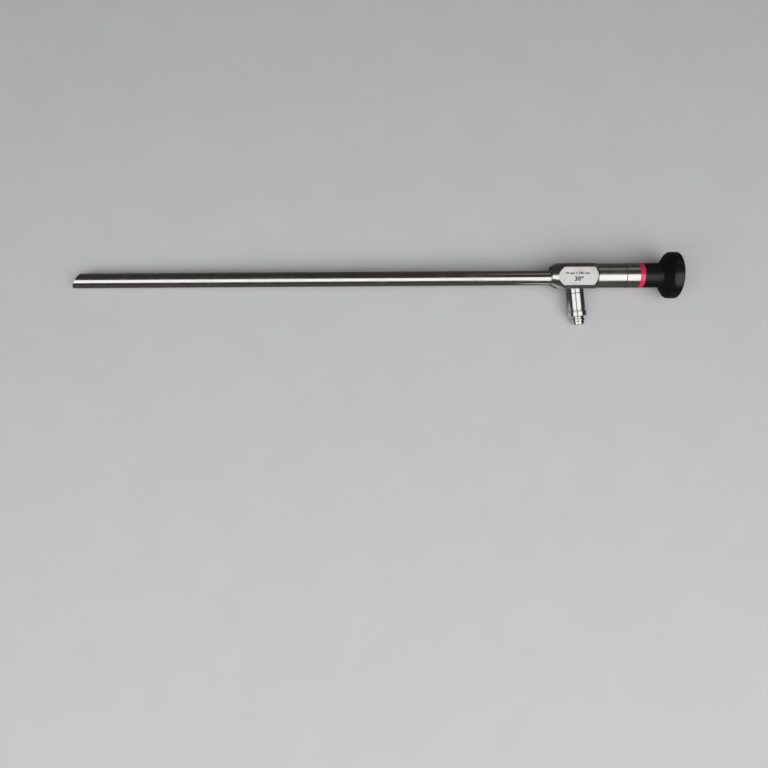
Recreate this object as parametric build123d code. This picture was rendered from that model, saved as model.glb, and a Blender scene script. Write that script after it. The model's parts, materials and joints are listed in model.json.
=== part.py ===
"""Rigid endoscope with a 30 degree view: a 10 mm insertion tube, body, light post and eyecup.

The pieces are modelled in the instrument's own frame (millimetres): X runs along the optical
axis from the distal tip to the eyecup with 0 at the front face of the body, the light post
leaves towards -Y, and +Z is the normal of the marking flat.  At the end the whole instrument
is laid on the table on the three points that it rests on: the tip, the light post's collar
and the rim of the eyecup.
"""
from build123d import *
import math
import os

# Fits between pieces
BRAZE_GAP = 0.02
SLIDE_GAP = 0.04

# Insertion tube, standard 10 mm x 330 mm
TUBE_R = 5.0
TUBE_WALL = 0.3
WORKING_LENGTH = 330.0
VIEW_ANGLE = 30.0
TUBE_OFFSET = 1.25
TUBE_IN_BODY = 6.0
TUBE_ROOT_R = 5.2
TUBE_ROOT_START = -0.8

# Optic tube that holds the lens train
OPTIC_R = 3.4
OPTIC_WALL = 0.2
OPTIC_END = 36.0

# Body block, square with turned corners
BODY_HALF = 8.6
BODY_CORNER_R = 10.53
BODY_FACE_R = 6.7
BODY_CONE_SLOPE = 0.5
BODY_REAR_CONE = 28.1
BODY_END = 31.3
BODY_END_R = 8.25
BODY_SPIGOT_R = 7.0
BODY_SPIGOT_END = 38.0
BODY_EDGE_R = 0.25
SHARP_END = 0.8
CHAMBER_R = 6.9
CHAMBER_START = 6.6
CHAMBER_END = 24.0
POST_HOLE_R = 4.6

# Barrel, rear sleeve and view angle ring
BARREL_R = 8.2
BARREL_BORE_R = 6.6
BARREL_END = 50.7
SLEEVE_R = 8.35
SLEEVE_END = 60.1
SLEEVE_FRONT = 42.0
SLEEVE_LIP = 1.5
SLEEVE_LIP_R = 4.0
SLEEVE_BORE_R = 5.6
SLEEVE_SPIGOT_R = 6.9
SLEEVE_SPIGOT_END = 72.0
RING_R = 8.45
RING_END = 63.2
EDGE_BREAK = 0.25

# Eyecup, rim of the standard 31.75 mm diameter
CUP_BARREL_R = 8.35
CUP_ROOT = 75.2
CUP_FLARE_END = 80.4
CUP_RIM_R = 15.875
CUP_END = 86.9
CUP_ROOT_FILLET = 1.2
CUP_SHOULDER_FILLET = 2.4
CUP_EDGE_FILLET = 1.2
CUP_MOUTH_R = 13.0
CUP_FLOOR = 79.0
CUP_FLOOR_R = 7.8
CUP_WEB_END = 75.0
CUP_WEB_R = 5.0
FRAME_R = 6.6
FRAME_SEAT = 1.8
WINDOW_R = 4.6
WINDOW_THICK = 1.7
FRAME_VIEW_R = 4.0

# Ocular behind the field stop
OCULAR_CELL_END = 66.0
OCULAR_WALL = 0.7
OCULAR_LIP_START = 52.6
OCULAR_LIP = 1.4
OCULAR_LIP_R = 4.3
OCULAR_LENS_SPLIT = 57.6
OCULAR_LENS_END = 60.6
OCULAR_CURVE = 14.0
OCULAR_JOIN_CURVE = 11.0
CEMENT = 0.01
LOCK_RING = 2.0
FIELD_STOP = 0.8
FIELD_STOP_R = 2.2

# Light post, leaning towards the eyecup
POST_AT_FLAT = 17.0
POST_LEAN = 8.0
POST_LENGTH = 25.0
POST_R = 5.8
POST_BASE = 2.8
POST_PILOT = 0.8
POST_BORE_R = 3.0
POST_MOUTH_R = 4.2
POST_MOUTH = 2.6
SPIGOT_R = 4.2
SPIGOT_STEP = 13.5
SPIGOT_TIP_R = 3.4
COLLAR_START = 15.1
COLLAR_END = 19.2
COLLAR_R = 6.2
COLLAR_GROOVE = 0.5
COLLAR_GROOVE_R = 5.4
COLLAR_CHAMFER = 0.5
TIP_BODY_R = 4.6
TIP_NECK_R = 4.0
TIP_NECK_END = 20.8
TIP_FLANGE_R = 4.5
TIP_FLANGE_END = 22.7
TIP_END_R = 4.05
TIP_CHAMFER = 0.3

# Light fibres
FIBRE_R = 2.6
FERRULE_WALL = 0.36
FERRULE_START = 12.0
CRESCENT_TOP = 2.4
CRESCENT_END = 6.8
KIDNEY_STATION = 10.0
KIDNEY_IN_R = 3.5
KIDNEY_OUT_R = 5.9
KIDNEY_HALF_ANGLE = 62.0
FIBRE_LEVEL = 4.6
ELBOW_R = 6.2
ELBOW_HALF_THICK = 1.9
ELBOW_HALF_WIDE = 3.1

# Lens train, from the tip backwards
CELL_R = 3.18
DISTAL_CELL_END = -317.0
TIP_WINDOW_R = 2.43
TIP_WINDOW_THICK = 0.8
FRONT_LENS_R = 1.58
FRONT_LENS_CURVE = 2.4
FRONT_LENS_CLEAR = 1.3
PRISM_HALF_WIDE = 1.6
PRISM_ENTRANCE = 1.75
PRISM_TO_MIRROR = 3.4
PRISM_EXIT = 6.2
PRISM_TOP = 0.424
PRISM_FRONT_CUT = 1.3
PRISM_AIR_GAP = 0.03
MIRROR_TILT = 15.0
OBJECTIVE_R = 2.68
OBJECTIVE_LIP = 1.0
OBJECTIVE_LIP_R = 1.6
OBJECTIVE_SPLIT = -313.4
OBJECTIVE_END = -309.6
OBJECTIVE_CURVE = 6.0
OBJECTIVE_BACK_CURVE = 9.0
OBJECTIVE_RING_R = 2.2
TRAIN_START = -307.0
TRAIN_END = 32.0
ROD_COUNT = 6
ROD_LENGTH = 50.0
ROD_R = 3.15
ROD_CURVE = 16.0
SPACER_R = 3.17
SPACER_BORE_R = 2.75

# Rest on the table
SETTLING_TURNS = 40

# Worked out from the sizes above
TUBE_BORE_R = TUBE_R - TUBE_WALL
OPTIC_BORE_R = OPTIC_R - OPTIC_WALL
TAN_VIEW = math.tan(math.radians(VIEW_ANGLE))
TIP_ON_AXIS = -WORKING_LENGTH + (TUBE_OFFSET + TUBE_R) * TAN_VIEW
ROD_GAP = (TRAIN_END - TRAIN_START - ROD_COUNT * ROD_LENGTH) / (ROD_COUNT + 1)
FLAT_ON_POST = BODY_HALF / math.cos(math.radians(POST_LEAN))

# Frames: tip face with X outwards along the view, and light post with X outwards
VIEW_DIR = Vector(-math.cos(math.radians(VIEW_ANGLE)), math.sin(math.radians(VIEW_ANGLE)), 0)
POST_DIR = Vector(math.sin(math.radians(POST_LEAN)), -math.cos(math.radians(POST_LEAN)), 0)
TIP_FACE = Plane(origin=(TIP_ON_AXIS, 0, 0), x_dir=VIEW_DIR, z_dir=(0, 0, 1))
POST = Plane(
    origin=(POST_AT_FLAT - BODY_HALF * math.tan(math.radians(POST_LEAN)), 0, 0),
    x_dir=POST_DIR,
    z_dir=(0, 0, 1),
)
TUBE_AXIS = Location((0, -TUBE_OFFSET, 0))


def turned(*profile):
    """Solid turned about X from the (station, radius) corners of its profile."""
    return revolve(make_face(Polyline(*profile, close=True)), Axis.X)


def rod(start, end, radius):
    """Plain cylinder along X."""
    return turned((start, 0), (end, 0), (end, radius), (start, radius))


def pipe(start, end, outer, inner):
    """Plain ring or tube along X."""
    return turned((start, inner), (end, inner), (end, outer), (start, outer))


def on_post(solid):
    """Move a piece turned about X, with 0 on the body's flat, onto the light post."""
    return POST * Location((FLAT_ON_POST, 0, 0)) * solid


def behind_tip_face(reach):
    """Block of the space behind the slanting tip face, used to cut tubes to the view angle."""
    return TIP_FACE * Location((-reach / 2, 0, 0)) * Box(reach, reach, reach)


def surface(station, radius, curve, side):
    """Half of a lens face, as edges from the axis to the rim.

    None is a flat face.  Otherwise curve is (radius of curvature, clear radius): a positive
    curvature bulges to the given side, and outside the clear radius the face is flat.
    """
    if curve is None:
        return [Line((station, 0), (station, radius))]
    bend, clear = curve
    sense = side if bend > 0 else -side
    sag = abs(bend) - math.sqrt(bend**2 - clear**2)
    half_sag = abs(bend) - math.sqrt(bend**2 - (clear / 2) ** 2)
    apex = station + sense * sag
    face = [ThreePointArc((apex, 0), (apex - sense * half_sag, clear / 2), (station, clear))]
    if clear < radius:
        face.append(Line((station, clear), (station, radius)))
    return face


def lens(start, end, radius, front, back):
    """Lens turned about X between the stations of its two rims."""
    front_edges = surface(start, radius, front, -1)
    back_edges = surface(end, radius, back, 1)
    rim = Line((start, radius), (end, radius))
    axis = Line(front_edges[0] @ 0, back_edges[0] @ 0)
    return revolve(make_face(front_edges + [rim, axis] + back_edges), Axis.X)


def meet(point, angle, other, other_angle):
    """Where two lines in the XY plane cross, each given by a point and its angle."""
    ax, ay = math.cos(math.radians(angle)), math.sin(math.radians(angle))
    bx, by = math.cos(math.radians(other_angle)), math.sin(math.radians(other_angle))
    dx, dy = other[0] - point[0], other[1] - point[1]
    along = (dx * by - dy * bx) / (ax * by - ay * bx)
    return (point[0] + along * ax, point[1] + along * ay)


def outer_tube():
    """Insertion tube: thin wall, cut at the view angle, its thicker root in the body's bore."""
    start = -WORKING_LENGTH - TUBE_R
    tube = turned(
        (start, TUBE_BORE_R),
        (TUBE_IN_BODY, TUBE_BORE_R),
        (TUBE_IN_BODY, TUBE_ROOT_R),
        (TUBE_ROOT_START + TUBE_ROOT_R - TUBE_R, TUBE_ROOT_R),
        (TUBE_ROOT_START, TUBE_R),
        (start, TUBE_R),
    )
    return TUBE_AXIS * tube & behind_tip_face(3 * WORKING_LENGTH)


def optic_tube():
    """Tube on the optical axis that carries every lens, cut flush with the tip face."""
    tube = pipe(-WORKING_LENGTH - TUBE_R, OPTIC_END, OPTIC_R, OPTIC_BORE_R)
    return tube & behind_tip_face(3 * WORKING_LENGTH)


def body_block():
    """Steel block with four flats, turned cones at both ends and the fibre chamber inside."""
    cone_end = (BODY_CORNER_R - BODY_FACE_R) / BODY_CONE_SLOPE
    form = turned(
        (0, 0),
        (0, BODY_FACE_R),
        (cone_end, BODY_CORNER_R),
        (BODY_REAR_CONE, BODY_CORNER_R),
        (BODY_END, BODY_END_R),
        (BODY_END, 0),
    )
    flats = Location((BODY_END / 2, 0, 0)) * Box(BODY_END, 2 * BODY_HALF, 2 * BODY_HALF)
    block = form & flats
    ends = (SHARP_END, BODY_END - SHARP_END)
    spans = [(edge, edge.bounding_box()) for edge in block.edges()]
    block = fillet([edge for edge, box in spans if ends[0] < box.min.X and box.max.X < ends[1]], BODY_EDGE_R)
    block += rod(BODY_END, BODY_SPIGOT_END, BODY_SPIGOT_R)
    block -= TUBE_AXIS * rod(0, TUBE_IN_BODY, TUBE_ROOT_R + BRAZE_GAP)
    block -= TUBE_AXIS * rod(TUBE_IN_BODY, CHAMBER_START, TUBE_BORE_R)
    block -= rod(CHAMBER_START, CHAMBER_END, CHAMBER_R)
    block -= rod(CHAMBER_END, BODY_SPIGOT_END, OPTIC_R + BRAZE_GAP)
    return block - POST * rod((CHAMBER_R + OPTIC_R) / 2, FLAT_ON_POST + POST_R, POST_HOLE_R)


def barrel():
    """Sleeve screwed on the body's spigot."""
    return turned(
        (BODY_END, BODY_SPIGOT_R + BRAZE_GAP),
        (BODY_SPIGOT_END, BODY_SPIGOT_R + BRAZE_GAP),
        (BODY_SPIGOT_END, BARREL_BORE_R),
        (BARREL_END, BARREL_BORE_R),
        (BARREL_END, BARREL_R - EDGE_BREAK),
        (BARREL_END - EDGE_BREAK, BARREL_R),
        (BODY_END + EDGE_BREAK, BARREL_R),
        (BODY_END, BARREL_R - EDGE_BREAK),
    )


def rear_sleeve():
    """Sleeve behind the barrel: its spigots carry the barrel, the ring and the eyecup."""
    return turned(
        (SLEEVE_FRONT, SLEEVE_LIP_R),
        (SLEEVE_FRONT + SLEEVE_LIP, SLEEVE_LIP_R),
        (SLEEVE_FRONT + SLEEVE_LIP, SLEEVE_BORE_R),
        (SLEEVE_SPIGOT_END, SLEEVE_BORE_R),
        (SLEEVE_SPIGOT_END, SLEEVE_SPIGOT_R),
        (SLEEVE_END, SLEEVE_SPIGOT_R),
        (SLEEVE_END, SLEEVE_R - EDGE_BREAK),
        (SLEEVE_END - EDGE_BREAK, SLEEVE_R),
        (BARREL_END + EDGE_BREAK, SLEEVE_R),
        (BARREL_END, SLEEVE_R - EDGE_BREAK),
        (BARREL_END, BARREL_BORE_R - BRAZE_GAP),
        (SLEEVE_FRONT, BARREL_BORE_R - BRAZE_GAP),
    )


def angle_ring():
    """Coloured ring that marks the view angle, clamped between sleeve and eyecup."""
    return turned(
        (SLEEVE_END, SLEEVE_SPIGOT_R + BRAZE_GAP),
        (RING_END, SLEEVE_SPIGOT_R + BRAZE_GAP),
        (RING_END, RING_R - EDGE_BREAK),
        (RING_END - EDGE_BREAK, RING_R),
        (SLEEVE_END + EDGE_BREAK, RING_R),
        (SLEEVE_END, RING_R - EDGE_BREAK),
    )


def eyecup():
    """Moulded eyecup: barrel, steep flare, broad rim and the funnel round the eye window."""
    outside = FilletPolyline(
        (RING_END, CUP_BARREL_R - EDGE_BREAK),
        (RING_END + EDGE_BREAK, CUP_BARREL_R),
        (CUP_ROOT, CUP_BARREL_R),
        (CUP_FLARE_END, CUP_RIM_R),
        (CUP_END, CUP_RIM_R),
        (CUP_END, CUP_MOUTH_R),
        (CUP_FLOOR, CUP_FLOOR_R),
        radius=[0, CUP_ROOT_FILLET, CUP_SHOULDER_FILLET, CUP_EDGE_FILLET, CUP_EDGE_FILLET],
    )
    inside = Polyline(
        (CUP_FLOOR, CUP_FLOOR_R),
        (CUP_FLOOR, FRAME_R + BRAZE_GAP),
        (CUP_WEB_END, FRAME_R + BRAZE_GAP),
        (CUP_WEB_END, CUP_WEB_R),
        (SLEEVE_SPIGOT_END, CUP_WEB_R),
        (SLEEVE_SPIGOT_END, SLEEVE_SPIGOT_R + BRAZE_GAP),
        (RING_END, SLEEVE_SPIGOT_R + BRAZE_GAP),
        (RING_END, CUP_BARREL_R - EDGE_BREAK),
    )
    return revolve(make_face(outside + inside), Axis.X)


def window_frame():
    """Ring that holds the eye window in the floor of the eyecup."""
    seat = CUP_WEB_END + FRAME_SEAT
    return turned(
        (CUP_WEB_END, FRAME_VIEW_R),
        (seat, FRAME_VIEW_R),
        (seat, WINDOW_R + BRAZE_GAP),
        (CUP_FLOOR, WINDOW_R + BRAZE_GAP),
        (CUP_FLOOR, FRAME_R),
        (CUP_WEB_END, FRAME_R),
    )


def eye_window():
    """Flat sapphire window in its frame."""
    seat = CUP_WEB_END + FRAME_SEAT
    return rod(seat, seat + WINDOW_THICK, WINDOW_R)


def post_base():
    """Base of the light post: mitred foot on the body's flat and the long threaded spigot."""
    foot = turned(
        (-POST_R, 0),
        (-POST_R, POST_R),
        (POST_BASE - EDGE_BREAK, POST_R),
        (POST_BASE, POST_R - EDGE_BREAK),
        (POST_BASE, 0),
    )
    outside = Location((0, -BODY_HALF - WORKING_LENGTH / 2, 0)) * Box(
        WORKING_LENGTH, WORKING_LENGTH, WORKING_LENGTH
    )
    base = (on_post(foot) & outside) + on_post(rod(-POST_PILOT, POST_BASE, POST_HOLE_R - BRAZE_GAP))
    base += on_post(rod(POST_BASE, SPIGOT_STEP, SPIGOT_R))
    base += on_post(rod(SPIGOT_STEP, POST_LENGTH, SPIGOT_TIP_R))
    bore = turned(
        (-POST_PILOT, 0),
        (-POST_PILOT, POST_MOUTH_R),
        (-POST_PILOT + POST_MOUTH, POST_BORE_R),
        (POST_LENGTH, POST_BORE_R),
        (POST_LENGTH, 0),
    )
    return base - on_post(bore)


def post_sleeve():
    """Outer adapter, screwed on the spigot: plain sleeve, groove and broad collar."""
    bore = SPIGOT_R + BRAZE_GAP
    return on_post(turned(
        (POST_BASE, bore),
        (SPIGOT_STEP, bore),
        (SPIGOT_STEP, TIP_BODY_R + BRAZE_GAP),
        (COLLAR_END, TIP_BODY_R + BRAZE_GAP),
        (COLLAR_END, COLLAR_R - COLLAR_CHAMFER),
        (COLLAR_END - COLLAR_CHAMFER, COLLAR_R),
        (COLLAR_START + COLLAR_GROOVE + EDGE_BREAK, COLLAR_R),
        (COLLAR_START + COLLAR_GROOVE, COLLAR_R - EDGE_BREAK),
        (COLLAR_START + COLLAR_GROOVE, COLLAR_GROOVE_R),
        (COLLAR_START, COLLAR_GROOVE_R),
        (COLLAR_START, POST_R - EDGE_BREAK),
        (COLLAR_START - EDGE_BREAK, POST_R),
        (POST_BASE + EDGE_BREAK, POST_R),
        (POST_BASE, POST_R - EDGE_BREAK),
    ))


def post_tip():
    """End adapter: threaded body inside the sleeve, neck, flange and plug end."""
    bore = SPIGOT_TIP_R + BRAZE_GAP
    return on_post(turned(
        (SPIGOT_STEP, bore),
        (POST_LENGTH, bore),
        (POST_LENGTH, TIP_END_R - TIP_CHAMFER),
        (POST_LENGTH - TIP_CHAMFER, TIP_END_R),
        (TIP_FLANGE_END, TIP_END_R),
        (TIP_FLANGE_END, TIP_FLANGE_R - EDGE_BREAK),
        (TIP_FLANGE_END - EDGE_BREAK, TIP_FLANGE_R),
        (TIP_NECK_END + EDGE_BREAK, TIP_FLANGE_R),
        (TIP_NECK_END, TIP_FLANGE_R - EDGE_BREAK),
        (TIP_NECK_END, TIP_NECK_R),
        (COLLAR_END, TIP_NECK_R),
        (COLLAR_END, TIP_BODY_R),
        (SPIGOT_STEP, TIP_BODY_R),
    ))


def fibre_ferrule():
    """Thin sleeve glued round the outer end of the light fibres."""
    start = FERRULE_START - FLAT_ON_POST
    inner = FIBRE_R + BRAZE_GAP
    return on_post(pipe(start, POST_LENGTH, inner + FERRULE_WALL, inner))


def crescent(station):
    """Outline of the fibres beside the optic tube, across X, as four edges."""
    outer = TUBE_BORE_R - SLIDE_GAP
    inner = OPTIC_R + SLIDE_GAP
    outer_z = math.sqrt(outer**2 - (CRESCENT_TOP + TUBE_OFFSET) ** 2)
    inner_z = math.sqrt(inner**2 - CRESCENT_TOP**2)
    return Wire([
        Edge.make_three_point_arc(
            (station, CRESCENT_TOP, outer_z),
            (station, -TUBE_OFFSET - outer, 0),
            (station, CRESCENT_TOP, -outer_z),
        ),
        Edge.make_line((station, CRESCENT_TOP, -outer_z), (station, CRESCENT_TOP, -inner_z)),
        Edge.make_three_point_arc(
            (station, CRESCENT_TOP, -inner_z), (station, -inner, 0), (station, CRESCENT_TOP, inner_z)
        ),
        Edge.make_line((station, CRESCENT_TOP, inner_z), (station, CRESCENT_TOP, outer_z)),
    ])


def kidney(station):
    """Outline of the fibres gathered below the optic tube, across X, as four edges."""
    cosine = math.cos(math.radians(KIDNEY_HALF_ANGLE))
    sine = math.sin(math.radians(KIDNEY_HALF_ANGLE))
    outer_left = (station, -KIDNEY_OUT_R * cosine, KIDNEY_OUT_R * sine)
    outer_right = (station, -KIDNEY_OUT_R * cosine, -KIDNEY_OUT_R * sine)
    inner_left = (station, -KIDNEY_IN_R * cosine, KIDNEY_IN_R * sine)
    inner_right = (station, -KIDNEY_IN_R * cosine, -KIDNEY_IN_R * sine)
    return Wire([
        Edge.make_three_point_arc(outer_left, (station, -KIDNEY_OUT_R, 0), outer_right),
        Edge.make_line(outer_right, inner_right),
        Edge.make_three_point_arc(inner_right, (station, -KIDNEY_IN_R, 0), inner_left),
        Edge.make_line(inner_left, outer_left),
    ])


def oval(plane, half_thick, half_wide):
    """Ellipse in four arcs on a plane whose Y is along the thickness."""
    return Wire([
        Edge.make_ellipse(half_wide, half_thick, plane, start, start + 90)
        for start in (45, 135, 225, 315)
    ])


def fibre_bundle():
    """Light fibres: crescent along the tube, gathered to an elbow, round up the light post."""
    lean = math.radians(POST_LEAN)
    long_part = extrude(Face(crescent(CRESCENT_END)), dir=(-1, 0, 0), amount=WORKING_LENGTH + 3 * TUBE_R)
    long_part = long_part & behind_tip_face(3 * WORKING_LENGTH)
    corner_x = POST_AT_FLAT + (FIBRE_LEVEL - BODY_HALF) * math.tan(lean)
    tangent = ELBOW_R * math.tan((math.pi / 2 - lean) / 2)
    centre = Vector(corner_x - tangent, -FIBRE_LEVEL - ELBOW_R, 0)
    middle = (math.pi / 2 + lean) / 2
    outward = Vector(math.cos(middle), math.sin(middle), 0)
    forward = Vector(math.sin(middle), -math.cos(middle), 0)
    bend = Plane(origin=centre + outward * ELBOW_R, x_dir=(0, 0, 1), z_dir=forward)
    round_start = POST_MOUTH - POST_PILOT
    end_centre = POST.origin + POST_DIR * (FLAT_ON_POST + round_start)
    end = Plane(origin=end_centre, x_dir=(0, 0, 1), z_dir=POST_DIR)
    sections = [
        crescent(CRESCENT_END),
        kidney(KIDNEY_STATION),
        oval(bend, ELBOW_HALF_THICK, ELBOW_HALF_WIDE),
        oval(end, FIBRE_R, FIBRE_R),
    ]
    elbow = Solid.make_loft(sections) - rod(0, CHAMBER_END, OPTIC_R + SLIDE_GAP)
    straight = on_post(rod(round_start, POST_LENGTH, FIBRE_R))
    return long_part + elbow + straight


def prism_frame():
    """Named points and angles of the prism pair, in the XY plane at the tip."""
    entrance = TIP_FACE.origin - VIEW_DIR * PRISM_ENTRANCE
    mirror = TIP_FACE.origin - VIEW_DIR * PRISM_TO_MIRROR
    turn = math.radians(90 - VIEW_ANGLE)
    climb = PRISM_TO_MIRROR * math.sin(math.radians(VIEW_ANGLE)) / math.sin(turn)
    interface = mirror + Vector(math.cos(turn), math.sin(turn), 0) * climb
    return (entrance.X, entrance.Y), (mirror.X, mirror.Y), (interface.X, interface.Y)


def prism(*corners):
    """Glass prism with the given corners, symmetric about the XY plane."""
    return extrude(make_face(Polyline(*corners, close=True)), PRISM_HALF_WIDE, both=True)


def front_prism():
    """Prism that lets the slanting view in and reflects it back along the optical axis."""
    entrance, _, interface = prism_frame()
    top = (entrance[0], PRISM_TOP)
    across = 90 - VIEW_ANGLE
    return prism(
        meet(entrance, across, interface, VIEW_ANGLE),
        meet(entrance, across, top, 0),
        meet(interface, VIEW_ANGLE, top, 0),
    )


def rear_prism():
    """Prism with the mirror face below and the exit face towards the objective."""
    _, mirror, interface = prism_frame()
    below = (interface[0], interface[1] - PRISM_AIR_GAP)
    front_cut = (TIP_ON_AXIS + PRISM_FRONT_CUT, 0)
    exit_face = (TIP_ON_AXIS + PRISM_EXIT, 0)
    return prism(
        meet(below, VIEW_ANGLE, front_cut, 90),
        meet(below, VIEW_ANGLE, exit_face, 90),
        meet(mirror, MIRROR_TILT, exit_face, 90),
        meet(mirror, MIRROR_TILT, front_cut, 90),
    )


def distal_cell():
    """Holder of window, front lens and prisms, cut flush with the tip face."""
    _, mirror, interface = prism_frame()
    exit_x = TIP_ON_AXIS + PRISM_EXIT
    low = meet(mirror, MIRROR_TILT, (TIP_ON_AXIS + PRISM_FRONT_CUT, 0), 90)[1] - BRAZE_GAP
    high = meet(interface, VIEW_ANGLE, (exit_x, 0), 90)[1] + BRAZE_GAP
    start = TIP_ON_AXIS + PRISM_FRONT_CUT / 2
    length = DISTAL_CELL_END - start
    channel = Location((start + length / 2, (low + high) / 2, 0)) * Box(
        length, high - low, 2 * (PRISM_HALF_WIDE + BRAZE_GAP)
    )
    cell = rod(-WORKING_LENGTH - TUBE_R, DISTAL_CELL_END, CELL_R) & behind_tip_face(WORKING_LENGTH)
    cell -= TIP_FACE * rod(-TIP_WINDOW_THICK, TUBE_R, TIP_WINDOW_R + BRAZE_GAP)
    cell -= TIP_FACE * rod(-PRISM_ENTRANCE - TIP_WINDOW_THICK, 0, FRONT_LENS_R + BRAZE_GAP)
    return cell - channel


def tip_window():
    """Sapphire window flush with the slanting tip face."""
    return TIP_FACE * rod(-TIP_WINDOW_THICK, 0, TIP_WINDOW_R)


def front_lens():
    """Small dished lens cemented on the first prism."""
    back = -TIP_WINDOW_THICK - BRAZE_GAP
    dish = (-FRONT_LENS_CURVE, FRONT_LENS_CLEAR)
    return TIP_FACE * lens(-PRISM_ENTRANCE + CEMENT, back, FRONT_LENS_R, dish, None)


def objective_cell():
    """Holder of the objective lenses, with its aperture lip in front."""
    lip_end = DISTAL_CELL_END + OBJECTIVE_LIP
    bore = OBJECTIVE_R + BRAZE_GAP
    return turned(
        (DISTAL_CELL_END, OBJECTIVE_LIP_R),
        (lip_end, OBJECTIVE_LIP_R),
        (lip_end, bore),
        (TRAIN_START, bore),
        (TRAIN_START, CELL_R),
        (DISTAL_CELL_END, CELL_R),
    )


def rod_start(index):
    """Station of the front rim of a rod lens, counted from 0 at the tip."""
    return TRAIN_START + ROD_GAP + index * (ROD_LENGTH + ROD_GAP)


def ocular_cell():
    """Holder of the ocular lenses, against the sleeve's front lip."""
    outer = SLEEVE_BORE_R - BRAZE_GAP
    bore = outer - OCULAR_WALL
    start = SLEEVE_FRONT + SLEEVE_LIP
    return turned(
        (start, bore),
        (OCULAR_LIP_START, bore),
        (OCULAR_LIP_START, OCULAR_LIP_R),
        (OCULAR_LIP_START + OCULAR_LIP, OCULAR_LIP_R),
        (OCULAR_LIP_START + OCULAR_LIP, bore),
        (OCULAR_CELL_END, bore),
        (OCULAR_CELL_END, outer),
        (start, outer),
    )


def outside_pieces():
    """Pieces that are seen or handled."""
    return {
        "outer_tube": outer_tube(),
        "body_block": body_block(),
        "barrel": barrel(),
        "rear_sleeve": rear_sleeve(),
        "angle_ring": angle_ring(),
        "eyecup": eyecup(),
        "window_frame": window_frame(),
        "eye_window": eye_window(),
        "light_post_base": post_base(),
        "light_post_sleeve": post_sleeve(),
        "light_post_tip": post_tip(),
    }


def light_pieces():
    """Light fibres and the ferrule at their outer end."""
    return {"fibre_bundle": fibre_bundle(), "fibre_ferrule": fibre_ferrule()}


def tip_pieces():
    """Optics and holders in the distal end."""
    objective_front = DISTAL_CELL_END + OBJECTIVE_LIP
    return {
        "tip_window": tip_window(),
        "distal_cell": distal_cell(),
        "front_lens": front_lens(),
        "front_prism": front_prism(),
        "rear_prism": rear_prism(),
        "objective_cell": objective_cell(),
        "objective_front_lens": lens(
            objective_front, OBJECTIVE_SPLIT, OBJECTIVE_R, None, (OBJECTIVE_CURVE, OBJECTIVE_R)
        ),
        "objective_rear_lens": lens(
            OBJECTIVE_SPLIT + CEMENT,
            OBJECTIVE_END,
            OBJECTIVE_R,
            (-OBJECTIVE_CURVE, OBJECTIVE_R),
            (OBJECTIVE_BACK_CURVE, OBJECTIVE_RING_R),
        ),
        "objective_retainer": pipe(OBJECTIVE_END, TRAIN_START, OBJECTIVE_R, OBJECTIVE_RING_R),
    }


def relay_pieces():
    """Rod lenses with the spacers in front of them, and the ring that holds the train."""
    pieces = {"optic_tube": optic_tube()}
    dome = (ROD_CURVE, SPACER_BORE_R)
    for index in range(ROD_COUNT):
        start = rod_start(index)
        pieces[f"spacer_{index + 1}"] = pipe(start - ROD_GAP, start, SPACER_R, SPACER_BORE_R)
        pieces[f"rod_lens_{index + 1}"] = lens(start, start + ROD_LENGTH, ROD_R, dome, dome)
    pieces["train_retainer"] = pipe(TRAIN_END - ROD_GAP, TRAIN_END, SPACER_R, SPACER_BORE_R)
    return pieces


def ocular_pieces():
    """Field stop, ocular lenses and their rings behind the relay."""
    bore = SLEEVE_BORE_R - BRAZE_GAP - OCULAR_WALL
    lens_r = bore - BRAZE_GAP
    stop = SLEEVE_FRONT + SLEEVE_LIP
    seat = OCULAR_LIP_START + OCULAR_LIP
    return {
        "ocular_cell": ocular_cell(),
        "field_stop": pipe(stop, stop + FIELD_STOP, lens_r, FIELD_STOP_R),
        "ocular_front_lens": lens(seat, OCULAR_LENS_SPLIT, lens_r, None, (OCULAR_JOIN_CURVE, lens_r)),
        "ocular_rear_lens": lens(
            OCULAR_LENS_SPLIT + CEMENT,
            OCULAR_LENS_END,
            lens_r,
            (-OCULAR_JOIN_CURVE, lens_r),
            (OCULAR_CURVE, OCULAR_LIP_R),
        ),
        "ocular_retainer": pipe(OCULAR_LENS_END, OCULAR_LENS_END + LOCK_RING, lens_r, OCULAR_LIP_R),
        "cell_lock_ring": pipe(
            OCULAR_CELL_END, OCULAR_CELL_END + LOCK_RING, SLEEVE_BORE_R - BRAZE_GAP, OCULAR_LIP_R
        ),
    }


def lowest_on_ellipse(centre, first, second, down):
    """Point of an ellipse, given by its two half-axis vectors, that lies furthest down."""
    a, b = first.dot(down), second.dot(down)
    reach = math.hypot(a, b)
    return centre + first * (a / reach) + second * (b / reach)


def lowest_on_circle(centre, axis, radius, down):
    """Point of a circle about an axis that lies furthest down."""
    across = down - axis * axis.dot(down)
    return centre + across.normalized() * radius


def rest_contacts(down):
    """The three points that touch the table when the given direction is down."""
    tip_centre = Vector(TIP_ON_AXIS - TUBE_OFFSET * TAN_VIEW, -TUBE_OFFSET, 0)
    in_face = Vector(-VIEW_DIR.Y, VIEW_DIR.X, 0) * (TUBE_R / math.cos(math.radians(VIEW_ANGLE)))
    tip = lowest_on_ellipse(tip_centre, in_face, Vector(0, 0, TUBE_R), down)
    collar_centre = POST.origin + POST_DIR * (FLAT_ON_POST + COLLAR_END - COLLAR_CHAMFER)
    collar = lowest_on_circle(collar_centre, POST_DIR, COLLAR_R, down)
    rim_front = CUP_FLARE_END + CUP_SHOULDER_FILLET / 2
    rim = lowest_on_circle(Vector(rim_front, 0, 0), Vector(1, 0, 0), CUP_RIM_R, down)
    return tip, collar, rim


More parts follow.
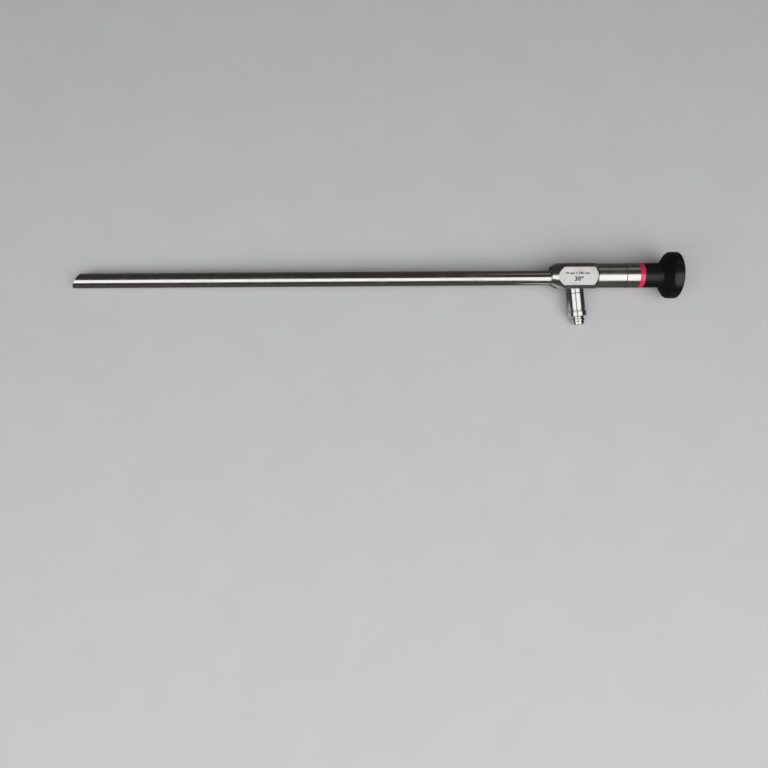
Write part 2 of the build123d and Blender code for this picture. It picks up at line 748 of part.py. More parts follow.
def rest_plane():
    """Table plane through the three contacts, found by letting the direction of down settle."""
    down = Vector(0, 0, -1)
    for _ in range(SETTLING_TURNS):
        tip, collar, rim = rest_contacts(down)
        down = (rim - tip).cross(collar - tip).normalized()
        if down.Z > 0:
            down = down * -1
    along = Vector(1, 0, 0)
    level = along - down * down.dot(along)
    return Plane(origin=tip, x_dir=level, z_dir=down * -1)


def rest_frame(pieces):
    """Table plane with its origin below the middle of the instrument's box."""
    table = rest_plane()
    box = Compound([table.to_local_coords(piece) for piece in pieces]).bounding_box()
    middle = table.from_local_coords(Vector((box.min.X + box.max.X) / 2, (box.min.Y + box.max.Y) / 2, 0))
    return Plane(origin=middle, x_dir=table.x_dir, z_dir=table.z_dir)


def build():
    """Every piece by name, in the instrument's own frame."""
    pieces = {}
    for group in (outside_pieces, light_pieces, tip_pieces, relay_pieces, ocular_pieces):
        pieces.update(group())
    return pieces


def main():
    """Lay the instrument on the table and write one file for each piece."""
    pieces = build()
    table = rest_frame(list(pieces.values()))
    os.makedirs("parts", exist_ok=True)
    for name, piece in pieces.items():
        export_step(table.to_local_coords(piece), f"parts/{name}.step")
        print(name, round(piece.volume, 1))


if __name__ == "__main__":
    main()
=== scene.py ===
# %% [markdown]
# # A rigid endoscope on a pale table
# A rigid endoscope is a straight steel tube full of lenses, with a square body, a light post and
# a black eyecup.  Its exact solids come ready-made, in metres, lying on the table as the real
# instrument comes to rest.  This notebook gives them their finishes, adds the small things that
# a lathe or a laser leaves on the surface, and lights and frames them as in the photograph.

# %% Load the instrument
import json
import math

import bpy
import numpy as np
from mathutils import Matrix, Vector


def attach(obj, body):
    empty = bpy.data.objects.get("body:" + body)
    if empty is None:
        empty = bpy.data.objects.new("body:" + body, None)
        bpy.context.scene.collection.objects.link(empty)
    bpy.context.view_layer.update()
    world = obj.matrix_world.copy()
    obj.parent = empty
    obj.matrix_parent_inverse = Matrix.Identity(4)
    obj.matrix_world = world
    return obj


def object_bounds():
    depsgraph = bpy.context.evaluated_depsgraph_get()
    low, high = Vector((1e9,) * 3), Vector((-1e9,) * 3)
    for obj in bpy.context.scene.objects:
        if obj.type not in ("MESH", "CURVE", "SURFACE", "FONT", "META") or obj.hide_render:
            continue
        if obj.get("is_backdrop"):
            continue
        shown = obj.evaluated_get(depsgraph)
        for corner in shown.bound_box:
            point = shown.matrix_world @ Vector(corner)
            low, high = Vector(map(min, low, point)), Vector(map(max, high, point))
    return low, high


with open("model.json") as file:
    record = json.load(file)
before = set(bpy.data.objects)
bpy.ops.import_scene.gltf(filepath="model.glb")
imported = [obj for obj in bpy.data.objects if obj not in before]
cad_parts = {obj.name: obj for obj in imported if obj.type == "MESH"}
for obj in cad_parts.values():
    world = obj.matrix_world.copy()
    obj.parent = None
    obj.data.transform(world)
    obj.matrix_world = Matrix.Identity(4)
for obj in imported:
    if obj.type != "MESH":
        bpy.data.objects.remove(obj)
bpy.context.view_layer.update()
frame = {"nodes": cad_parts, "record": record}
nodes = frame["nodes"]
print("nodes:", len(nodes))

# %% [markdown]
# ## The instrument's own axes
# The instrument lies at a slant, so every pattern that follows its surfaces needs its own axes.
# They could be typed in, but the record already states where the tube, the rim and the light
# post point.  So X is the optical axis towards the eyecup, Z the normal of the flat that carries
# the marking, and the origin is on the optical axis at the front face of the body.

# %% The instrument's axes
MM = 0.001
RIM_STATION = 83.65 * MM
mounts = {mount["name"]: mount for mount in frame["record"]["mounts"]}
AXIS_X = Vector(mounts["eyecup_rim"]["axis"]).normalized()
post_out = Vector(mounts["light_post_end"]["axis"]).normalized()
AXIS_Y = -(post_out - AXIS_X * post_out.dot(AXIS_X)).normalized()
AXIS_Z = AXIS_X.cross(AXIS_Y)
ORIGIN = Vector(mounts["eyecup_rim"]["pos_m"]) - AXIS_X * RIM_STATION
TO_WORLD = Matrix((
    (AXIS_X.x, AXIS_Y.x, AXIS_Z.x, ORIGIN.x),
    (AXIS_X.y, AXIS_Y.y, AXIS_Z.y, ORIGIN.y),
    (AXIS_X.z, AXIS_Y.z, AXIS_Z.z, ORIGIN.z),
    (0, 0, 0, 1),
))
print("the marked flat leans by", round(math.degrees(AXIS_Z.angle(Vector((0, 0, 1)))), 1), "degrees")


def local_point(x, y, z):
    """A point given in millimetres on the instrument's axes, in metres in the scene."""
    return TO_WORLD @ Vector((x * MM, y * MM, z * MM))


# %% [markdown]
# ## The camera
# The photograph looks down on the instrument from a little less than half a metre, with the
# camera above the middle of the tube.  Matching the ends of the tube, the widths along it and
# the slant of the ring gives the place and the lens, in the instrument's own axes.

# %% Camera
CAMERA_AT = (-115.5, 1.15, 471.9)
LOOK_SLOPE = 0.159
FOCAL_PIXELS = 674.0
FRAME_PIXELS = 768
SENSOR_MM = 36.0
CAMERA_TWIST = math.radians(-0.38)

camera_data = bpy.data.cameras.new("camera")
camera = bpy.data.objects.new("camera", camera_data)
bpy.context.scene.collection.objects.link(camera)
camera_data.sensor_width = SENSOR_MM
camera_data.lens = FOCAL_PIXELS / FRAME_PIXELS * SENSOR_MM
backward = Vector((0, LOOK_SLOPE, math.sqrt(1 - LOOK_SLOPE**2)))
upward = Vector((0, backward.z, -backward.y))
rightward = upward.cross(backward)
look = Matrix((rightward, upward, backward)).transposed().to_4x4()
twist = Matrix.Rotation(CAMERA_TWIST, 4, "Z")
own_turn = TO_WORLD.to_quaternion().to_matrix().to_4x4()
camera.matrix_world = Matrix.Translation(local_point(*CAMERA_AT)) @ own_turn @ look @ twist
bpy.context.scene.camera = camera


def pixel(point):
    """Where a point of the scene falls in the 768 pixel frame, from the top left corner."""
    seen = camera.matrix_world.inverted() @ point
    scale = FOCAL_PIXELS / -seen.z
    return (FRAME_PIXELS / 2 + seen.x * scale, FRAME_PIXELS / 2 - seen.y * scale)


marks = {"tip": (-330, -6.25, 0), "body": (0, 0, 0), "rim": (83, 0, 0), "post": (20, -33.6, 0)}
for name, place in marks.items():
    print(name, "at pixel", [round(value, 1) for value in pixel(local_point(*place))])

# %% [markdown]
# ## The table
# The instrument lies on a plain pale table.  Its surface is at height 0, where the tip, the light
# post's collar and the rim of the eyecup touch it.

# %% Table
TABLE_SIZE = 12.0
half = TABLE_SIZE / 2
corners = [(-half, -half, 0), (half, -half, 0), (half, half, 0), (-half, half, 0)]
table_mesh = bpy.data.meshes.new("table")
table_mesh.from_pydata(corners, [], [(0, 1, 2, 3)])
table = bpy.data.objects.new("table", table_mesh)
bpy.context.scene.collection.objects.link(table)
table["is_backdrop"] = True
print("table", TABLE_SIZE, "m square")

# %% [markdown]
# ## Hanging a lamp
# Polished steel shows its surroundings, so the lamps matter more than the metal.  Each lamp is a
# flat soft box that runs along the instrument.  Its place could be typed in as a point, but its
# lean and its two ends say directly where its reflection falls on a round tube: the lean moves
# the bright line round the tube, the width widens it, and the ends cut it off.

# %% Lamp helper
LAMP_DISTANCE = 1.2
POST_NODES = ("light_post_base", "light_post_sleeve", "light_post_tip")


def linked(name, state):
    """Collection that makes a lamp light only the light post's nodes, or all but them."""
    collection = bpy.data.collections.new(name)
    for node in POST_NODES:
        collection.objects.link(nodes[node])
    for entry in collection.collection_objects:
        entry.light_linking.link_state = state
    return collection


def lamp(name, lean, start, end, width, radiance, receivers=None, in_reflections=True):
    """Soft lamp between two stations in metres, leaning towards +Y by so many degrees."""
    data = bpy.data.lights.new(name, "AREA")
    data.shape = "RECTANGLE"
    data.size = end - start
    data.size_y = width
    data.energy = radiance * math.pi * data.size * data.size_y
    placed = bpy.data.objects.new(name, data)
    bpy.context.scene.collection.objects.link(placed)
    placed.visible_glossy = in_reflections
    placed.light_linking.receiver_collection = receivers
    angle = math.radians(lean)
    away = AXIS_Y * math.sin(angle) + AXIS_Z * math.cos(angle)
    at = ORIGIN + AXIS_X * ((start + end) / 2) + away * LAMP_DISTANCE
    facing = Matrix((AXIS_X, away.cross(AXIS_X), away)).transposed().to_4x4()
    placed.matrix_world = Matrix.Translation(at) @ facing


print("lamps hang", LAMP_DISTANCE, "m from the optical axis")

# %% [markdown]
# ## The lamps
# Two long soft lamps hang end to end above the instrument, a little towards the light post, and
# draw the one bright line along the tube and the barrel.  The light post has two lamps of its own
# in the same place, because the gap between them is the fine line in its shine, and would darken
# the tube's.  A dim strip low on the other side gives the faint second line.  The table lamp
# lifts the table and the matt parts.  It is kept out of reflections, as a photographer hides a
# lamp from polished steel with black card.

# %% Lamps
only_post = linked("light post", "INCLUDE")
all_but_post = linked("all but light post", "EXCLUDE")
lamp("left soft lamp", -13.2, -1.76, 0.28, 0.955, 1.4, all_but_post)
lamp("right soft lamp", -19.5, 0.28, 1.56, 1.358, 1.4, all_but_post)
lamp("left post lamp", -17, -1.76, -0.30, 1.19, 1.4, only_post)
lamp("right post lamp", -17, -0.04, 1.56, 1.19, 1.4, only_post)
lamp("low strip", 66, 0.15, 1.6, 0.26, 0.34)
lamp("table lamp", -10, -1.3, 1.3, 1.6, 0.5, in_reflections=False)

# %% [markdown]
# ## The room
# The room behind the table is pale to the eye but gives almost no light.  A bright room would
# fill the steel's dark bands, which are what makes it look polished.  So the world has two
# strengths, one for what the camera sees and one for everything else.

# %% Room
ROOM_LIGHT = 0.04
BACKDROP = 0.62
world = bpy.data.worlds.new("room")
bpy.context.scene.world = world
world.use_nodes = True
world_nodes = world.node_tree.nodes
world_links = world.node_tree.links
room = world_nodes["Background"]
room.inputs["Color"].default_value = (1, 1, 1, 1)
room.inputs["Strength"].default_value = ROOM_LIGHT
backdrop = world_nodes.new("ShaderNodeBackground")
backdrop.inputs["Color"].default_value = (1, 1, 1, 1)
backdrop.inputs["Strength"].default_value = BACKDROP
seen_by = world_nodes.new("ShaderNodeLightPath")
shown = world_nodes.new("ShaderNodeMixShader")
world_links.new(seen_by.outputs["Is Camera Ray"], shown.inputs[0])
world_links.new(room.outputs[0], shown.inputs[1])
world_links.new(backdrop.outputs[0], shown.inputs[2])
world_links.new(shown.outputs[0], world_nodes["World Output"].inputs["Surface"])
bpy.context.scene.view_settings.view_transform = "Standard"
print("room light", ROOM_LIGHT, "backdrop", BACKDROP)

# %% [markdown]
# ## Shader maths as Python
# A finish is a formula: a little more roughness here, a darker ring there.  Wiring Math nodes by
# hand hides the formula, so a small class wraps a socket and lets Python's own operators add the
# nodes.  Colours are mixed with Mix nodes, because a Math node would turn them grey.

# %% Shader maths
class Wire:
    """A shader value: Python's operators on it add Math nodes to its material."""

    def __init__(self, finish, socket):
        self.finish = finish
        self.socket = socket

    def _math(self, operation, *values):
        return self.finish.node("ShaderNodeMath", {"operation": operation}, values)

    def __add__(self, other):
        return self._math("ADD", self, other)

    def __sub__(self, other):
        return self._math("SUBTRACT", self, other)

    def __rsub__(self, other):
        return self._math("SUBTRACT", other, self)

    def __mul__(self, other):
        return self._math("MULTIPLY", self, other)

    def __truediv__(self, other):
        return self._math("DIVIDE", self, other)

    def __abs__(self):
        return self._math("ABSOLUTE", self)

    def power(self, other):
        return self._math("POWER", self, other)

    def smooth(self, low, high):
        """0 below low, 1 above high, with a soft step between."""
        settings = {"interpolation_type": "SMOOTHSTEP"}
        return self.finish.node("ShaderNodeMapRange", settings, {0: self, 1: low, 2: high}, "Result")

    __radd__ = __add__
    __rmul__ = __mul__


print("operators:", [name for name in vars(Wire) if name.startswith("__") and name != "__init__"][:8])

# %% [markdown]
# ## A finish
# Every finish here is one Principled shader with a few formulas wired into it.  They all read the
# instrument's own axes in millimetres, so that a groove lies at its real station and grain has
# its real size.  UV maps would do it too, but turned parts need none: the axis is enough.

# %% Finish
class Finish:
    """One material: its Principled shader, and a method that adds any node to it."""

    def __init__(self, name, **constants):
        self.material = bpy.data.materials.new(name)
        self.material.use_nodes = True
        self.tree = self.material.node_tree
        self.shader = self.tree.nodes["Principled BSDF"]
        for key, value in constants.items():
            socket = key.replace("_", " ").title().replace("Ior", "IOR")
            self.shader.inputs[socket].default_value = value

    def node(self, kind, settings=None, inputs=(), output=0):
        made = self.tree.nodes.new(kind)
        for key, value in (settings or {}).items():
            setattr(made, key, value)
        pairs = inputs.items() if isinstance(inputs, dict) else enumerate(inputs)
        for key, value in pairs:
            if isinstance(value, Wire):
                self.tree.links.new(value.socket, made.inputs[key])
            else:
                made.inputs[key].default_value = value
        return Wire(self, made.outputs[output])

    def drive(self, socket, value):
        self.tree.links.new(value.socket, self.shader.inputs[socket])

    def place(self):
        """Position on the instrument's own axes, in millimetres, from Object coordinates."""
        seen = self.node("ShaderNodeTexCoord", output="Object")
        moved = self.node("ShaderNodeVectorMath", {"operation": "SUBTRACT"}, {0: seen, 1: tuple(ORIGIN)})
        dot = {"operation": "DOT_PRODUCT"}
        rows = [
            self.node("ShaderNodeVectorMath", dot, {0: moved, 1: tuple(axis / MM)}, "Value")
            for axis in (AXIS_X, AXIS_Y, AXIS_Z)
        ]
        return self.node("ShaderNodeCombineXYZ", inputs=rows), rows

    def noise(self, where, stretch, scale, detail=2.0):
        """Noise from 0 to 1 at a scale per millimetre, stretched along the three axes."""
        times = {"operation": "MULTIPLY"}
        stretched = self.node("ShaderNodeVectorMath", times, {0: where, 1: stretch})
        inputs = {"Vector": stretched, "Scale": scale, "Detail": detail}
        return self.node("ShaderNodeTexNoise", {}, inputs, "Fac")

    def mix(self, factor, first, second):
        settings = {"data_type": "RGBA"}
        return self.node("ShaderNodeMix", settings, {0: factor, 6: first, 7: second}, 2)

    def bump(self, height, strength, distance):
        inputs = {"Strength": strength, "Distance": distance, "Height": height}
        return self.node("ShaderNodeBump", {}, inputs)


def dress(material, *names):
    """Give CAD nodes a finish."""
    for name in names:
        data = nodes[name].data
        data.materials.clear()
        data.materials.append(material)


print("a finish reads millimetres from", [round(value, 4) for value in ORIGIN])

# %% [markdown]
# ## Polished steel
# The tube, the barrel and the light post are turned stainless steel, polished until they mirror
# the room.  A perfect mirror looks like computer graphics: the real one keeps faint turning marks
# round the axis, hair-fine wipe marks along it, and slight waves that make reflections wander.
# The marks are noise stretched along or round the axis, at the scale of tenths of a millimetre.
# A thin dark band of painted shade lies at each seam between the turned pieces.

# %% Polished steel
POST_LEAN = math.radians(8.0)
POST_AT = 15.79
POST_SEAMS = (11.49, 23.6, 27.89, 29.49, 31.39)
BARREL_SEAMS = (50.7,)


def steel(name, tint, roughness, mark_strength, wave_strength, across_post=False):
    """Polished steel with turning marks round its axis, wipe marks, faint waves and painted shade at its
    seams.
    """
    finish = Finish(name, metallic=1.0)
    where, (x, y, z) = finish.place()
    ring_stretch = (0.12, 5.0, 0.12) if across_post else (5.0, 0.12, 0.12)
    wipe_stretch = (3.0, 0.05, 3.0) if across_post else (0.03, 3.0, 3.0)
    rings = finish.noise(where, ring_stretch, 1.2, 3.0)
    wipes = finish.noise(where, wipe_stretch, 1.6, 3.0)
    clouds = finish.noise(where, (0.05, 0.12, 0.12), 1.0, 2.0)
    blot = clouds.smooth(0.35, 0.75)
    wiped = wipes.smooth(0.55, 0.8)
    finish.drive("Roughness", roughness + blot * (0.5 * roughness) + wiped * (0.6 * roughness))
    dull = tuple(0.9 * value for value in tint[:3]) + (1,)
    worn = finish.mix(blot * 0.5 + rings.smooth(0.55, 0.9) * 0.3, tint, dull)
    if across_post:
        out = x * math.sin(POST_LEAN) - y * math.cos(POST_LEAN) - POST_AT * math.sin(POST_LEAN)
        stations, half_width, seam_shade = POST_SEAMS, 0.28, 0.7
    else:
        out, stations, half_width, seam_shade = x, BARREL_SEAMS, 0.16, 0.25
    # painted shade: a thin dark band in the base colour at each seam station
    seams = sum(1 - abs(out - station).smooth(0.3 * half_width, half_width) for station in stations)
    finish.drive("Base Color", finish.mix(seams * seam_shade, worn, (0.05, 0.05, 0.05, 1)))
    height = rings * mark_strength + wipes * (0.6 * mark_strength) + clouds * wave_strength
    finish.drive("Normal", finish.bump(height, 1.0, MM))
    return finish.material


tube_steel = steel("polished tube steel", (0.66, 0.65, 0.62, 1), 0.17, 0.0003, 0.006)
barrel_steel = steel("polished barrel steel", (0.68, 0.67, 0.64, 1), 0.19, 0.0004, 0.003)
post_steel = steel("polished post steel", (0.68, 0.67, 0.64, 1), 0.15, 0.0005, 0.003, across_post=True)
dress(tube_steel, "outer_tube")
dress(barrel_steel, "barrel", "rear_sleeve")
dress(post_steel, "light_post_base", "light_post_sleeve", "light_post_tip")
print("seams in millimetres:", BARREL_SEAMS, "and along the post", POST_SEAMS)

# %% [markdown]
# ## The body block
# The block's flats are ground and fine-blasted to a pale satin, and its turned cones are
# brighter.  One material covers both: where the surface faces one of the four flats' directions
# it turns satin, elsewhere it stays turned steel.

# %% Body steel
body = Finish("satin body steel", metallic=1.0)
where, (x, y, z) = body.place()
grain = body.noise(where, (1.0, 1.0, 1.0), 9.0, 4.0)
brush = body.noise(where, (0.25, 6.0, 6.0), 1.0, 3.0)
turning = body.noise(where, (6.0, 0.15, 0.15), 1.4, 3.0)
clouds = body.noise(where, (0.12, 0.12, 0.12), 1.0, 2.0)
FLAT_HALF = 8.6
flat_y = 1 - (abs(abs(y) - FLAT_HALF)).smooth(0.05, 0.16)
flat_z = 1 - (abs(abs(z) - FLAT_HALF)).smooth(0.05, 0.16)
satin = (flat_y + flat_z).smooth(0.2, 0.9)
body.drive("Roughness", 0.17 + satin * 0.20 + clouds * 0.08 + grain * (0.05 * satin))
cloudy = clouds.smooth(0.3, 0.8)
body.drive("Base Color", body.mix(cloudy, (0.70, 0.69, 0.665, 1), (0.63, 0.62, 0.60, 1)))
height = grain * (0.0016 * satin) + brush * (0.0012 * satin) + turning * (0.0016 * (1 - satin))
body.drive("Normal", body.bump(height, 1.0, MM))
dress(body.material, "body_block")
print("satin within 0.05 mm of the flats at", FLAT_HALF, "mm")

# %% [markdown]
# ## Red ring
# The ring is a dense red plastic or enamel with a soft sheen.  One flat red would do from afar,
# but close up enamel is never even: here it is mottled a little, with the faintest turning lines
# under the sheen.

# %% Red ring
ring = Finish("crimson ring", specular_ior_level=0.9)
where, (x, y, z) = ring.place()
mottle = ring.noise(where, (1.0, 1.0, 1.0), 1.4, 3.0)
lines = ring.noise(where, (7.0, 0.1, 0.1), 1.5, 2.0)
patches = mottle.smooth(0.3, 0.7)
ring.drive("Base Color", ring.mix(patches, (0.98, 0.022, 0.125, 1), (0.88, 0.018, 0.106, 1)))
ring.drive("Roughness", 0.20 + mottle * 0.08)
ring.drive("Normal", ring.bump(lines * 0.003 + mottle * 0.002, 1.0, MM))
dress(ring.material, "angle_ring")
print("ring nodes:", len(ring.tree.nodes))

# %% [markdown]
# ## Black eyecup
# The eyecup is moulded from a heat-proof black plastic, with the finest stipple and faint turning
# lines.  The rim is a little smoother than the rest, because it is what the hands and the camera
# coupler touch.  The distance from the axis tells the rim from the neck.

# %% Eyecup
black = Finish("black moulding", specular_ior_level=0.45)
where, (x, y, z) = black.place()
stipple = black.noise(where, (1.0, 1.0, 1.0), 7.0, 4.0)
cloud = black.noise(where, (1.0, 1.0, 1.0), 0.18, 3.0)
lines = black.noise(where, (6.0, 0.1, 0.1), 1.3, 3.0)
radius = (y * y + z * z).power(0.5)
rub = radius.smooth(14.6, 15.8) * cloud.smooth(0.35, 0.7)
black.drive("Base Color", black.mix(rub, (0.0040, 0.0040, 0.0048, 1), (0.011, 0.011, 0.012, 1)))
handled = radius.smooth(15.2, 15.8)
black.drive("Roughness", 0.38 + stipple * 0.10 - rub * 0.04 - handled * 0.13)
black.drive("Normal", black.bump(stipple * 0.010 + lines * 0.006, 1.0, MM))
dress(black.material, "eyecup")
print("eyecup nodes:", len(black.tree.nodes))

# %% [markdown]
# ## Glass
# The windows, lenses and prisms are clear glass or sapphire with an anti-reflection film, whose
# faint blue and violet tint drifts from place to place.  Real refraction is kept, because the
# dark depth behind the windows is what makes them look deep.

# %% Glass
glass = Finish("optical glass", roughness=0.02, ior=1.62, transmission_weight=1.0)
where, _ = glass.place()
film = glass.noise(where, (0.4, 0.4, 0.4), 1.0, 2.0)
glass.drive("Base Color", glass.mix(film, (0.93, 0.97, 0.98, 1), (0.96, 0.95, 0.99, 1)))
clear = [name for name in nodes if "lens" in name or "prism" in name or name.endswith("window")]
dress(glass.material, *clear)
print("glass:", len(clear), "pieces")

# %% [markdown]
# ## Turned inner steel
# Spacers, retainers, cells and the optic tube are turned and left as they come off the lathe.
# Nobody polishes what nobody sees, so the turning lines are stronger and the metal is greyer.

# %% Inner steel
inner = Finish("turned inner steel", metallic=1.0)
where, _ = inner.place()
turning = inner.noise(where, (8.0, 0.2, 0.2), 1.5, 3.0)
inner.drive("Base Color", inner.mix(turning, (0.48, 0.47, 0.45, 1), (0.58, 0.57, 0.55, 1)))
inner.drive("Roughness", 0.28 + turning * 0.15)
inner.drive("Normal", inner.bump(turning * 0.004, 1.0, MM))
unseen = [name for name in nodes if name.startswith("spacer") or "retainer" in name]
unseen += ["optic_tube", "objective_cell", "ocular_cell", "cell_lock_ring", "fibre_ferrule"]
dress(inner.material, *unseen)
print("inner steel:", len(unseen), "pieces")

# %% [markdown]
# ## Blackened steel
# The holders that face a window are blackened, so that they send no stray light into the picture.
# It is a thin chemical black that still shows the turning.

# %% Blackened steel
dark = Finish("blackened steel", metallic=0.6)
where, _ = dark.place()
turning = dark.noise(where, (8.0, 0.2, 0.2), 1.5, 3.0)
dark.drive("Base Color", dark.mix(turning, (0.020, 0.020, 0.022, 1), (0.040, 0.040, 0.042, 1)))
dark.drive("Roughness", 0.38 + turning * 0.15)
dark.drive("Normal", dark.bump(turning * 0.005, 1.0, MM))
dress(dark.material, "window_frame", "distal_cell", "field_stop")
print("blackened nodes:", len(dark.tree.nodes))

# %% [markdown]
# ## Fibre ends
# The light fibres end in a polished face: thousands of round glass rods, far too many to model.
# A pattern of small cells gives each rod its bright middle and dark edge, and a slower noise
# makes some of them darker, as broken fibres are.

# %% Fibre ends
fibres = Finish("fibre ends", specular_ior_level=0.6)
where, _ = fibres.place()
cells = fibres.node("ShaderNodeTexVoronoi", {}, {"Vector": where, "Scale": 9.0}, "Distance")
patch = fibres.noise(where, (1.0, 1.0, 1.0), 1.3, 2.0)
edges = cells.smooth(0.25, 0.6) * 0.7 + patch * 0.3
fibres.drive("Base Color", fibres.mix(edges, (0.80, 0.77, 0.64, 1), (0.22, 0.20, 0.15, 1)))
fibres.drive("Roughness", 0.12 + cells * 0.2)
dress(fibres.material, "fibre_bundle")
print("fibre ends: 9 cells a millimetre")

# %% [markdown]
# ## Turning a profile
# A lathe carries one profile round an axis, and so does this helper.  Spin or a screw modifier
# could do it, but a formula on a grid of angles gives exact radii and a mesh that closes on
# itself.

# %% Helper for turned pieces
TUBE_AXIS_Y = -1.25


def turned_piece(name, stations, radii, axis_y, segments=96):
    """Closed ring: point (i, j) is profile point i turned by angle j about the line y = axis_y, z = 0."""
    angles = np.arange(segments) * (2 * np.pi / segments)
    x = np.repeat(np.asarray(stations)[:, None], segments, axis=1)
    y = axis_y + np.outer(radii, np.cos(angles))
    z = np.outer(radii, np.sin(angles))
    local = np.stack([x, y, z], axis=-1).reshape(-1, 3) * MM
    turn = np.array(TO_WORLD.to_3x3())
    points = local @ turn.T + np.array(ORIGIN)
    rows = np.arange(len(stations))[:, None]
    columns = np.arange(segments)[None, :]
    after_row = (rows + 1) % len(stations)
    after_column = (columns + 1) % segments
    corners = [
        rows * segments + columns,
        rows * segments + after_column,
        after_row * segments + after_column,
        after_row * segments + columns,
    ]
    grid = (len(stations), segments)
    faces = np.stack([np.broadcast_to(corner, grid) for corner in corners], axis=-1).reshape(-1, 4)
    mesh = bpy.data.meshes.new(name)
    mesh.from_pydata(points.tolist(), [], faces.tolist())
    mesh.shade_smooth()
    piece = bpy.data.objects.new(name, mesh)
    bpy.context.scene.collection.objects.link(piece)
    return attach(piece, "root")


print("tube's axis lies", TUBE_AXIS_Y, "mm from the optical axis")

# %% [markdown]
# ## Braze fillet
# Where the thicker root of the insertion tube enters the block, braze leaves a small hollow
# fillet that seals the joint.  Its profile is a quarter of an oval that starts along the root and
# ends along the block's face, sunk a little into both so that no gap shows.

# %% Braze fillet
ROOT_R = 5.2
FILLET_LENGTH = 0.5
FILLET_HEIGHT = 0.22
SUNK = 0.03
sweep = np.linspace(0, np.pi / 2, 9)
fillet_x = np.concatenate([-FILLET_LENGTH * (1 - np.sin(sweep)), [SUNK, SUNK, -FILLET_LENGTH - SUNK]])
fillet_r = np.concatenate([
    ROOT_R + FILLET_HEIGHT * (1 - np.cos(sweep)),
    [ROOT_R + FILLET_HEIGHT, ROOT_R - SUNK, ROOT_R - SUNK],
])
braze = turned_piece("braze_fillet", fillet_x[::-1], fillet_r[::-1], TUBE_AXIS_Y)
silver = Finish("silver braze", metallic=1.0)
where, _ = silver.place()
grain = silver.noise(where, (1.0, 1.0, 1.0), 5.0, 3.0)
silver.drive("Base Color", silver.mix(grain, (0.52, 0.50, 0.45, 1), (0.64, 0.62, 0.57, 1)))
silver.drive("Roughness", 0.24 + grain * 0.2)
silver.drive("Normal", silver.bump(grain * 0.01, 1.0, MM))
braze.data.materials.append(silver.material)
print("braze fillet", FILLET_LENGTH, "by", FILLET_HEIGHT, "mm,", len(braze.data.polygons), "faces")

# %% [markdown]
# ## Marking
# A laser marks the flat with the tube's diameter and length, and the view angle below them.  Each
# line is a text object made a mesh, so that it needs no font when the file is opened elsewhere,
# and is sunk half its thickness into the flat.

# %% Marking
FLAT_Z = 8.6
MARK_DEPTH = 0.01
mark = Finish("laser mark", specular_ior_level=0.2)
where, _ = mark.place()
speckle = mark.noise(where, (1.0, 1.0, 1.0), 9.0, 3.0)
mark.drive("Base Color", mark.mix(speckle, (0.010, 0.010, 0.010, 1), (0.030, 0.029, 0.028, 1)))
mark.drive("Roughness", 0.55 + speckle * 0.25)


def marking(name, words, size, x, y, spacing, stroke):
    """Text of a size in millimetres, centred at x, y on the flat, its strokes thickened by stroke."""
    letters = bpy.data.curves.new(name, "FONT")
    letters.body = words
    letters.size = size * MM
    letters.extrude = MARK_DEPTH * MM
    letters.offset = stroke * size * MM
    letters.space_character = spacing
    letters.align_x = "CENTER"
    letters.align_y = "CENTER"
    letters.resolution_u = 4
    carrier = bpy.data.objects.new(name, letters)
    bpy.context.scene.collection.objects.link(carrier)
    bpy.context.view_layer.update()
    mesh = bpy.data.meshes.new_from_object(carrier)
    bpy.data.objects.remove(carrier)
    mesh.transform(TO_WORLD @ Matrix.Translation((x * MM, y * MM, FLAT_Z * MM)))
    mesh.materials.clear()
    mesh.materials.append(mark.material)
    piece = bpy.data.objects.new(name, mesh)
    bpy.context.scene.collection.objects.link(piece)
    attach(piece, "root")
    print(name, len(mesh.polygons), "faces")


marking("marking_size", "10 mm \u00d7 330 mm", 2.0, 16.4, 1.9, 1.14, 0.05)
marking("marking_angle", "30\u00b0", 3.9, 17.6, -2.0, 1.12, 0.045)

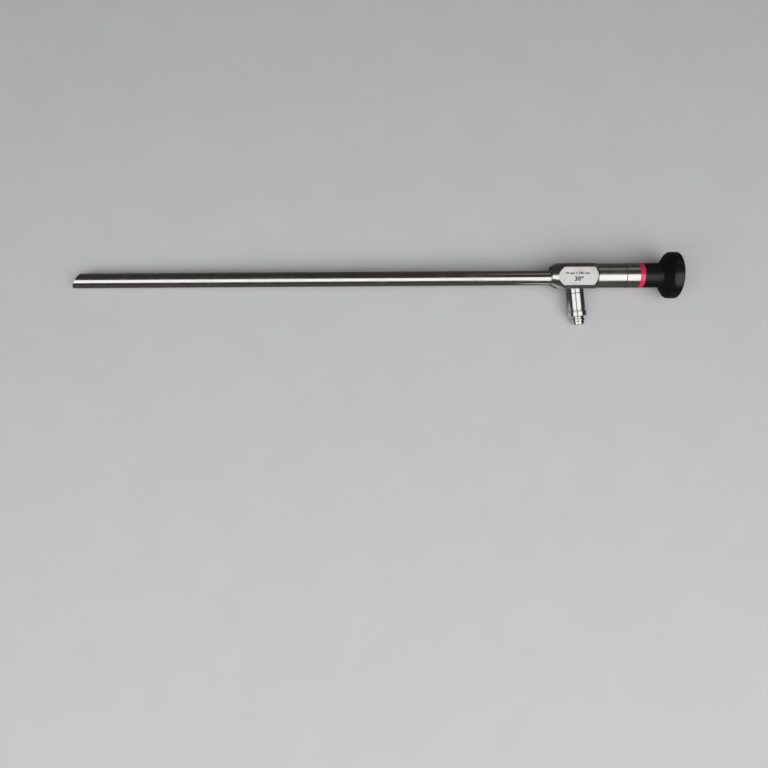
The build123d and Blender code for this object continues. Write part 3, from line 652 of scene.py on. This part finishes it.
# %% [markdown]
# ## The table's surface
# The table is plain and pale, with only the faintest mottle so that it doesn't look like paper.
# In the steel's reflections it is mixed towards dark, which stands in for the black card that a
# photographer lays beside polished metal to draw its edges.  A patch left of the light post stays
# pale, and draws the bright rim along that side of the post.  Far away the table fades into the
# backdrop, as a studio's sweep of paper does.

# %% Table surface
CARD_SHARE = 0.86
PATCH_AT = (1.0, -34.0)
PATCH_HALF = (19.0, 12.0)
MIDDLE_X = -120.0
FADE_FROM = 420.0
FADE_TO = 950.0
table_top = Finish("pale table")
seen = table_top.node("ShaderNodeTexCoord", output="Object")
mottle = table_top.noise(seen, (1.0, 1.0, 1.0), 30.0, 4.0)
table_top.drive("Base Color", table_top.mix(mottle, (0.70, 0.71, 0.71, 1), (0.76, 0.76, 0.76, 1)))
table_top.drive("Roughness", 0.6 + mottle * 0.1)
card = table_top.node("ShaderNodeBsdfDiffuse", {}, {"Color": (0.02, 0.02, 0.02, 1)})
_, (x, y, z) = table_top.place()
across = (x - PATCH_AT[0]) / PATCH_HALF[0]
down = (y - PATCH_AT[1]) / PATCH_HALF[1]
outside = (across * across + down * down).smooth(0.5, 1.5)
mirrored = table_top.node("ShaderNodeLightPath", output="Is Glossy Ray") * outside * CARD_SHARE
carded = table_top.node("ShaderNodeMixShader", {}, {0: mirrored, 2: card})
table_top.tree.links.new(table_top.shader.outputs[0], carded.socket.node.inputs[1])
sweep = table_top.node("ShaderNodeEmission", {}, {"Color": (1, 1, 1, 1), "Strength": BACKDROP})
far = ((x - MIDDLE_X) * (x - MIDDLE_X) + y * y).power(0.5).smooth(FADE_FROM, FADE_TO)
for_camera = table_top.node("ShaderNodeLightPath", output="Is Camera Ray")
shown = table_top.node("ShaderNodeMixShader", {}, {0: far * for_camera, 1: carded, 2: sweep})
table_top.tree.links.new(shown.socket, table_top.tree.nodes["Material Output"].inputs["Surface"])
table.data.materials.append(table_top.material)
print("table fades out between", FADE_FROM, "and", FADE_TO, "mm")

# %% [markdown]
# ## Sizes
# The box round the dressed instrument is printed, in millimetres.
# A finish adds nothing to an instrument's size.

# %% Sizes
visual_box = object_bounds()
lengths = [round((high - low) / MM, 1) for low, high in zip(*visual_box)]
print("size in millimetres:", lengths)
